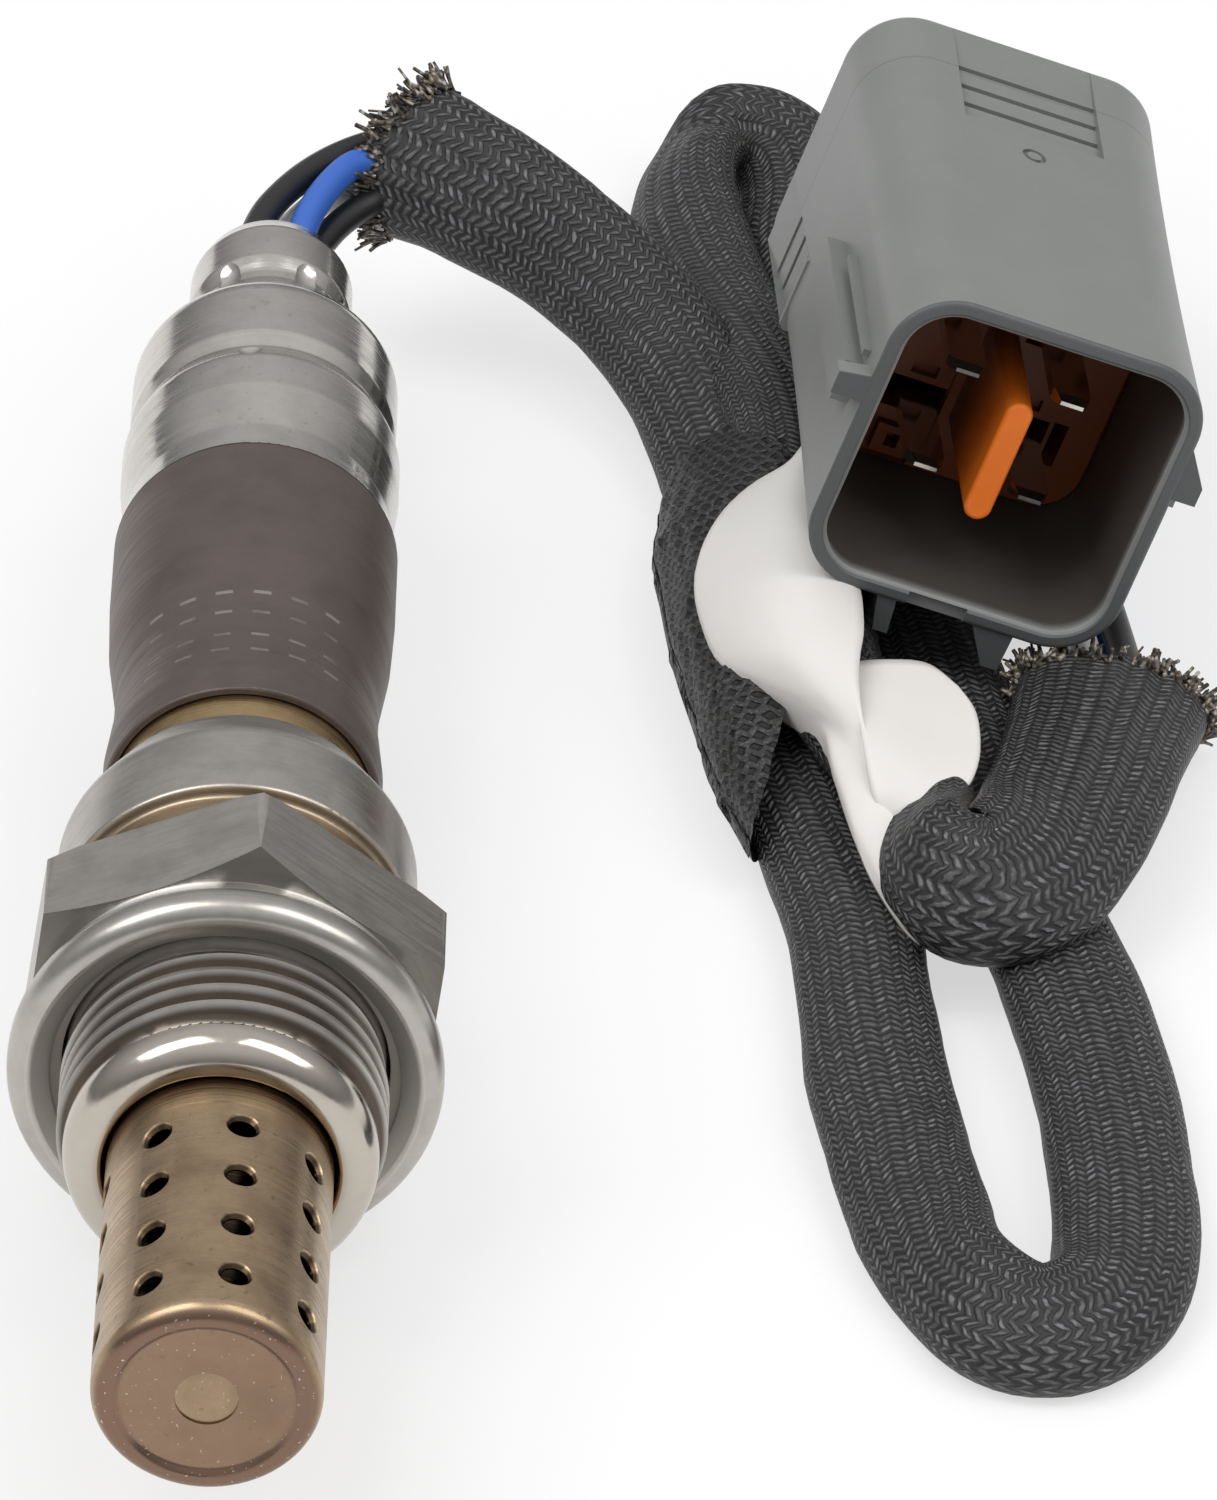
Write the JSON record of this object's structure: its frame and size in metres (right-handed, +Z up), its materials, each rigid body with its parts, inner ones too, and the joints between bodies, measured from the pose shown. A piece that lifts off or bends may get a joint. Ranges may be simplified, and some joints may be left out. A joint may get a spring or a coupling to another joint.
{
  "type": "oxygen sensor",
  "caption": "Heated exhaust oxygen sensor with an M18 thread and crush gasket, perforated probe, braided wiring sleeve and a square multi-way plug.",
  "frame": {"origin": "on the sensor's axis, in the sealing face of the gasket", "axes": "+Y along the sensor from the probe tip to the wires, +Z up from the surface that the part lies on, +X towards the plug"},
  "size_m": [0.0669, 0.1453, 0.0289],
  "materials": {
    "probe_steel": "satin, brown heat tint",
    "zirconia": "matte",
    "alumina": "matte",
    "housing_steel": "turned, satin nickel",
    "gasket_steel": "rolled, bright",
    "talc": "pressed powder",
    "gold_steel": "golden heat tint",
    "dark_sleeve": "matte purple-grey",
    "cover_steel": "drawn, bright with a warm tint",
    "black_rubber": "matte",
    "plated_contact": "plated",
    "blue_insulation": "smooth",
    "black_insulation": "smooth",
    "white_insulation": "smooth",
    "braid": "braided glass-fibre sleeve, dark grey",
    "coarse_braid": "open coarse braid, near black",
    "label": "blank off-white strip",
    "grey_plastic": "moulded, matte grey",
    "orange_plastic": "moulded, orange",
    "plated_pin": "plated"
  },
  "bodies": {
    "root": {"outer_shield": "probe_steel", "inner_shield": "probe_steel", "sensing_element": "zirconia", "heater_rod": "alumina", "threaded_housing": "housing_steel", "gasket_ring": "gasket_steel", "packing_washer": "housing_steel", "powder_packing": "talc", "ceramic_bush": "alumina", "crimp_ring": "housing_steel", "inner_sleeve": "gold_steel", "body_sleeve": "dark_sleeve", "upper_cover": "cover_steel", "rubber_grommet": "black_rubber", "terminal_insulator": "alumina", "contact_clip_1": "plated_contact", "contact_clip_2": "plated_contact", "contact_clip_3": "plated_contact", "contact_clip_4": "plated_contact", "wire_blue": "blue_insulation", "wire_black_left": "black_insulation", "wire_black_right": "black_insulation", "wire_white": "white_insulation", "braided_sleeve": "braid", "tie_band": "coarse_braid", "label_wrap": "label", "connector_housing": "grey_plastic", "terminal_retainer": "orange_plastic", "terminal_pin_1": "plated_pin", "terminal_pin_2": "plated_pin", "terminal_pin_3": "plated_pin", "terminal_pin_4": "plated_pin", "wire_seal_1": "black_rubber", "wire_seal_2": "black_rubber", "wire_seal_3": "black_rubber", "wire_seal_4": "black_rubber"}
  },
  "joints": []
}
